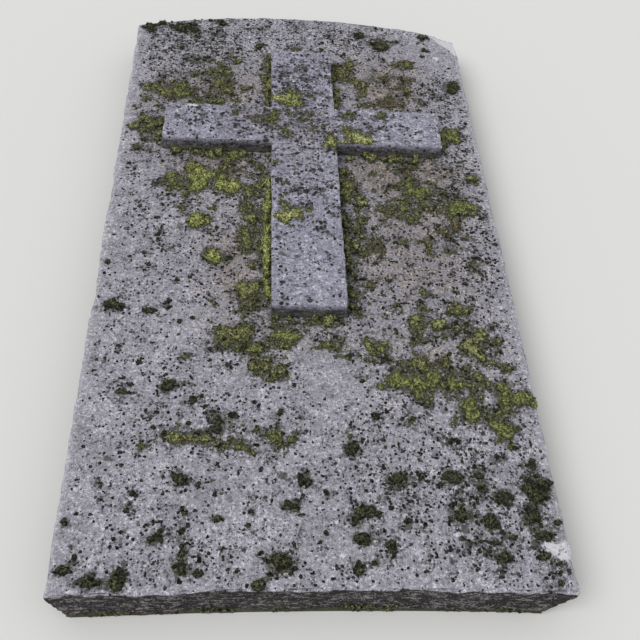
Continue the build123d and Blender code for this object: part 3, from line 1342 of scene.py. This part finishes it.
def plant_shoots(name, plan, surface, keep, kinds, tries, leans):
    """Shoots over a plan: kinds give each layer its share, height, width and hue."""
    spots = deal(*plan_corners(plan), tries)
    spots = spots[keep(spots) > 0.3]
    strengths = np.array([plan.read(kind, spots) for kind in kinds])
    share, tall, wide, hue, dry = blend_kinds(strengths, list(kinds.values()))
    strength = strengths.max(axis=0)
    share = share * np.clip(strength * 1.3 + 0.3, 0, 1)
    tall = tall * (0.55 + 0.45 * np.clip(strength, 0, 1))
    kept = np.flatnonzero(chance.random(len(spots)) < share)[:most_shoots]
    height = tall[kept] * chance.uniform(0.6, 1.15, len(kept)) * MM
    width = wide[kept] * chance.uniform(0.7, 1.2, len(kept)) * MM
    hues = hue[kept] + 0.25 * (np.clip(strength[kept], 0, 1) - 0.5) + chance.uniform(-0.2, 0.2, len(kept))
    dries = dry[kept] + chance.uniform(-0.2, 0.3, len(kept))
    sizes = np.stack([width, width, height], axis=1)
    places = surface(spots[kept])
    places[:, 2] += np.maximum(plan.read("height", spots[kept]) - skin_thickness, 0)
    plant(name, shoot, places, sizes, hues, dries, shoot_finish, leans=leans)


def plan_corners(plan):
    """The low and high corners of a plan."""
    low = Vector((plan.x.min(), plan.y.min(), 0))
    high = Vector((plan.x.max(), plan.y.max(), 0))
    return low, high


slab_shoots = {
    "small": (0.20, 3.0, 0.7, -0.12, 0.1),
    "black": (0.60, 4.5, 0.7, 0.02, 0.2),
    "brown": (0.45, 4.2, 0.7, 0.30, 0.6),
    "olive": (0.70, 4.8, 0.7, 0.38, 0.35),
    "green": (0.95, 5.5, 0.7, 0.46, 0.10),
    "bright": (0.95, 5.5, 0.7, 0.66, 0.10),
}
cross_shoots = {
    "thin": (0.35, 1.6, 0.7, 0.48, 0.35),
    "tuft": (0.90, 1.9, 0.90, 0.82, 0.3),
}
most_shoots = 49500
plant_shoots("moss_shoots_slab", slab_plan, on_slab, clear_of_cross, slab_shoots, 700000, 1.2)
plant_shoots("moss_shoots_cross", cross_plan, on_cross, clear_of_edge, cross_shoots, 400000, 5.0)

# %% [markdown]
# ## Lichen buttons
#
# Black lichen stands less than a millimetre proud. Low buttons with ragged rims give the
# larger dots a real edge, and the material draws the rest.

# %% Plant the buttons
spots = deal(slab_low, slab_high, 30000)
thick = slab_lichen(spots) + 0.3 * waves(spots, 0.04, 41)
bare = (inside_slab(spots) > 0.008) & (inside_cross(spots) < -0.004)
spots = spots[bare & (chance.random(len(spots)) < 0.6 * np.clip(thick, 0, 1) ** 2)]
radius = chance.uniform(1.4, 3.6, len(spots)) * MM
stretch = chance.uniform(0.7, 1.3, len(spots))
height = chance.uniform(0.5, 1.1, len(spots)) * MM
sizes = np.stack([radius, radius * stretch, height], axis=1)
black_hues = np.full(len(spots), -0.1)
no_dryness = np.zeros(len(spots))
plant("lichen_buttons", button, on_slab(spots), sizes, black_hues, no_dryness, cushion_finish, fray=0.28)

# %% [markdown]
# ## Moss at the foot of the walls
#
# The foot of the walls stays wet, so a low band of moss clings to it. Each copy is a small
# flattened lump whose middle lies just inside the wall. Its height is drawn from a skewed
# chance, so that the band is thick at the bottom and its top edge is ragged. No lump reaches
# below the level that the slab rests on.

# %% Plant the band at the foot of the walls
def wall_band(count, reach):
    """Places on the slab's four walls, low down, as an array."""
    wall = chance.choice(["foot", "head", "left", "right"], count, p=[0.17, 0.17, 0.33, 0.33])
    across = 0.9 * half_width * chance.uniform(-1, 1, count)
    along = chance.uniform(foot_y + 0.075, head_corner_y - 0.010, count)
    height = reach * chance.random(count) ** 2
    side = np.where(wall == "left", -half_width, half_width)
    at_end = (wall == "foot") | (wall == "head")
    end = np.where(wall == "foot", foot_line(across), head_line(across))
    return np.stack([np.where(at_end, across, side), np.where(at_end, end, along), height], axis=1)


band_inset = 1.0 * MM
band_places = wall_band(6000, reach=28 * MM)
band_thick = waves(band_places * np.array([1, 1, 0]), 0.06, 51) + 0.5 * waves(band_places, 0.02, 52)
band_places = band_places[band_thick > -0.10]
band_size = chance.uniform(1.8, 4.0, len(band_places)) * MM
band_places -= band_inset * np.sign(band_places) * np.array([1, 1, 0])
band_places[:, 2] += 1.1 * band_size
band_hues = 0.12 + 0.18 * chance.random(len(band_places))
band_dries = 0.5 * chance.random(len(band_places))
band_sizes = np.stack([band_size, band_size, 0.8 * band_size], axis=1)
plant("moss_wall_band", lump, band_places, band_sizes, band_hues, band_dries, cushion_finish, fray=0.3)
